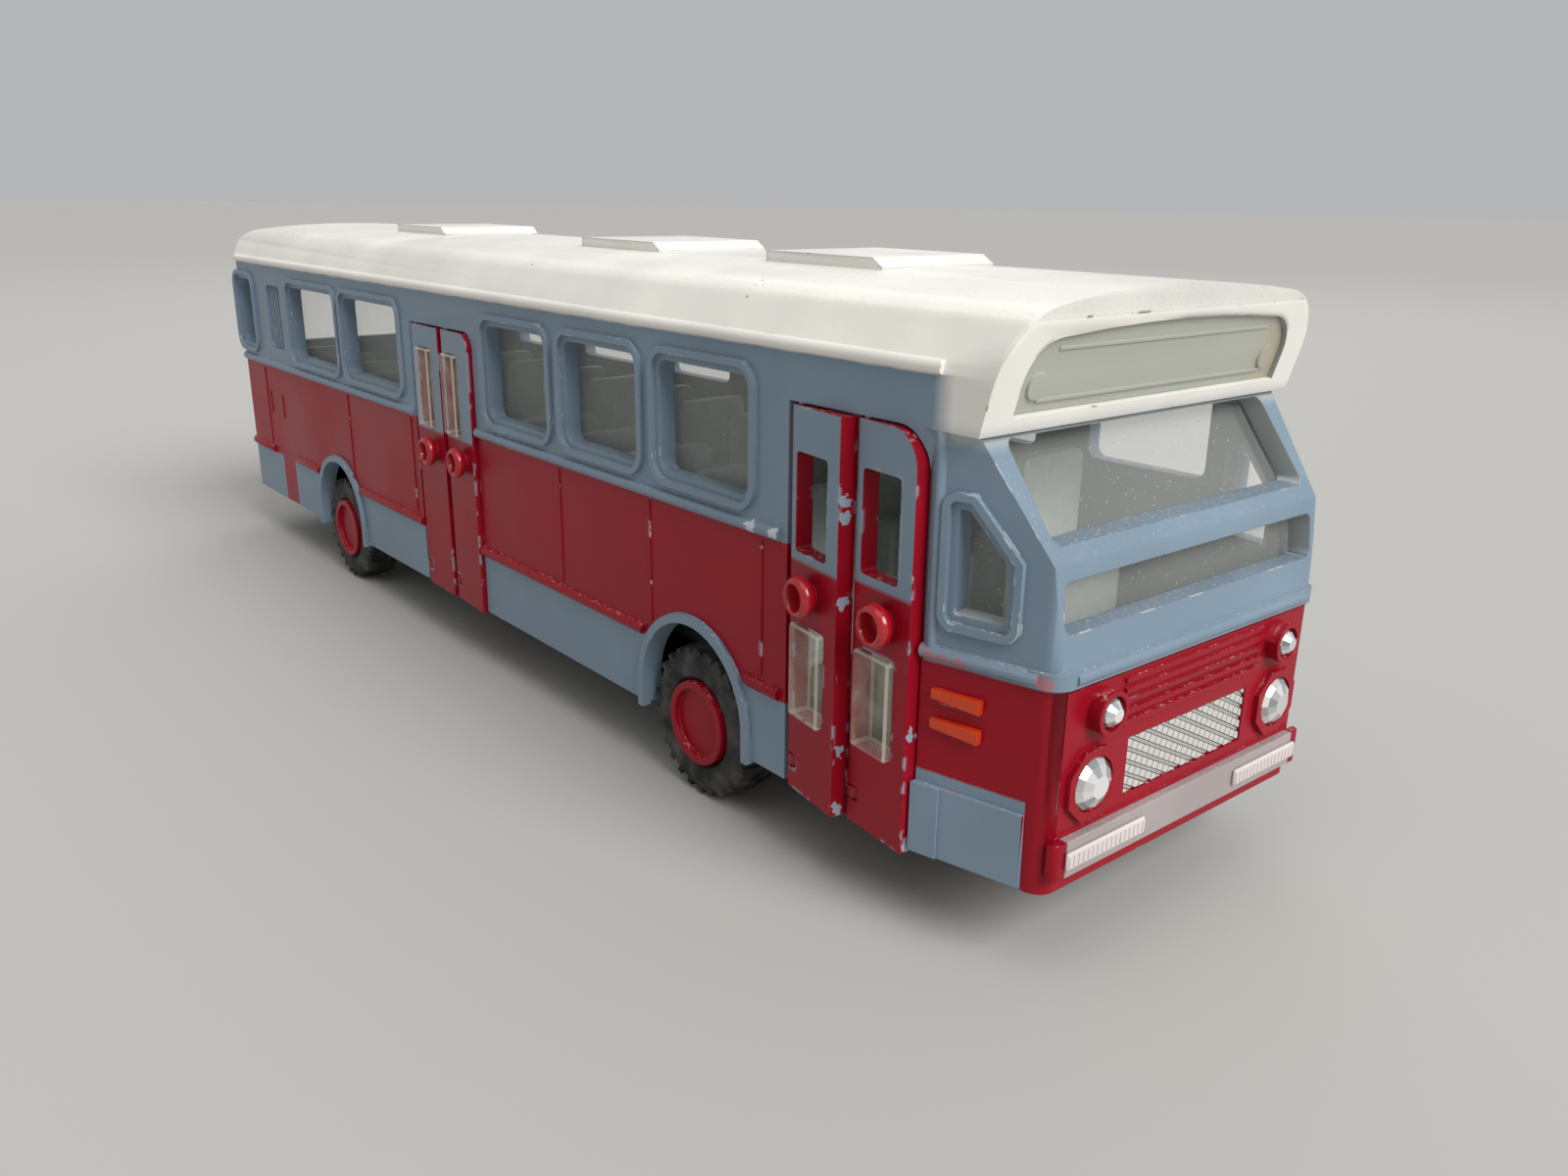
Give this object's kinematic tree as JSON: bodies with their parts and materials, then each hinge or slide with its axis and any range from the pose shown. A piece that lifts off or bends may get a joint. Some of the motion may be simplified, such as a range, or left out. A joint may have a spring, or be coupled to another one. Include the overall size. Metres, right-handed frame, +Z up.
{
  "type": "toy bus",
  "caption": "Die-cast single-deck toy city bus with hinged double-leaf doors, clear windows, a seat insert and free-rolling axles.",
  "frame": {"origin": "on the ground under the middle of the bus, between the wheels", "axes": "+X to the front of the bus, +Y to its left side, +Z up"},
  "size_m": [0.22, 0.0543, 0.0648],
  "materials": {
    "body_paint": "worn gloss enamel in blue-grey, red and cream",
    "red_paint": "worn gloss enamel",
    "silver_paint": "satin silver paint",
    "white_paint": "satin paint",
    "clear_plastic": "clear moulded polystyrene, dusty",
    "seat_plastic": "moulded, matt",
    "black_plastic": "moulded, matt",
    "tyre": "moulded rubber",
    "steel": "drawn wire"
  },
  "bodies": {
    "chassis": {"body_shell": "body_paint", "front_panel": "red_paint", "front_bumper": "silver_paint", "bumper_pads": "white_paint", "front_grille": "silver_paint", "headlight_lenses": "clear_plastic", "upper_lamp_lenses": "clear_plastic", "destination_panel": "clear_plastic", "windscreen": "clear_plastic", "rear_window": "clear_plastic", "right_front_glazing": "clear_plastic", "right_rear_glazing": "clear_plastic", "left_glazing": "clear_plastic", "right_quarter_glazing": "clear_plastic", "left_quarter_glazing": "clear_plastic", "baseplate": "black_plastic", "baseplate_screws": "steel", "seat_unit": "seat_plastic", "driver_seat": "seat_plastic", "rear_bumper": "silver_paint", "rear_lamps": "red_paint"},
    "front_door_rear": {"front_door_rear_leaf": "red_paint", "front_door_rear_knob": "red_paint", "front_door_rear_insert": "clear_plastic", "front_door_rear_pins": "steel"},
    "front_door_front": {"front_door_front_leaf": "red_paint", "front_door_front_knob": "red_paint", "front_door_front_insert": "clear_plastic", "front_door_front_pins": "steel"},
    "mid_door_rear": {"mid_door_rear_leaf": "red_paint", "mid_door_rear_knob": "red_paint", "mid_door_rear_insert": "clear_plastic", "mid_door_rear_pins": "steel"},
    "mid_door_front": {"mid_door_front_leaf": "red_paint", "mid_door_front_knob": "red_paint", "mid_door_front_insert": "clear_plastic", "mid_door_front_pins": "steel"},
    "front_wheelset": {"front_axle": "steel", "front_left_tyre": "tyre", "front_left_hub": "red_paint", "front_right_tyre": "tyre", "front_right_hub": "red_paint"},
    "rear_wheelset": {"rear_axle": "steel", "rear_left_tyre": "tyre", "rear_left_hub": "red_paint", "rear_right_tyre": "tyre", "rear_right_hub": "red_paint"}
  },
  "joints": [
    {"name": "front_door_rear_hinge", "type": "hinge", "parent": "chassis", "child": "front_door_rear", "pos_m": [0.07615, -0.0242, 0.03], "axis": [0, 0, -1], "range_deg": [-9, 66]},
    {"name": "front_door_front_hinge", "type": "hinge", "parent": "chassis", "child": "front_door_front", "pos_m": [0.08593, -0.0242, 0.03], "axis": [0, 0, -1], "range_deg": [-6, 49]},
    {"name": "mid_door_rear_hinge", "type": "hinge", "parent": "chassis", "child": "mid_door_rear", "pos_m": [-0.01735, -0.0242, 0.03], "axis": [0, 0, -1], "range_deg": [-1, 74]},
    {"name": "mid_door_front_hinge", "type": "hinge", "parent": "chassis", "child": "mid_door_front", "pos_m": [-0.00667, -0.0242, 0.03], "axis": [0, 0, -1], "range_deg": [-3, 52]},
    {"name": "front_wheels_roll", "type": "hinge", "parent": "chassis", "child": "front_wheelset", "pos_m": [0.0576, 0, 0.0097], "axis": [0, 1, 0], "continuous": true},
    {"name": "rear_wheels_roll", "type": "hinge", "parent": "chassis", "child": "rear_wheelset", "pos_m": [-0.056, 0, 0.0097], "axis": [0, 1, 0], "continuous": true}
  ]
}
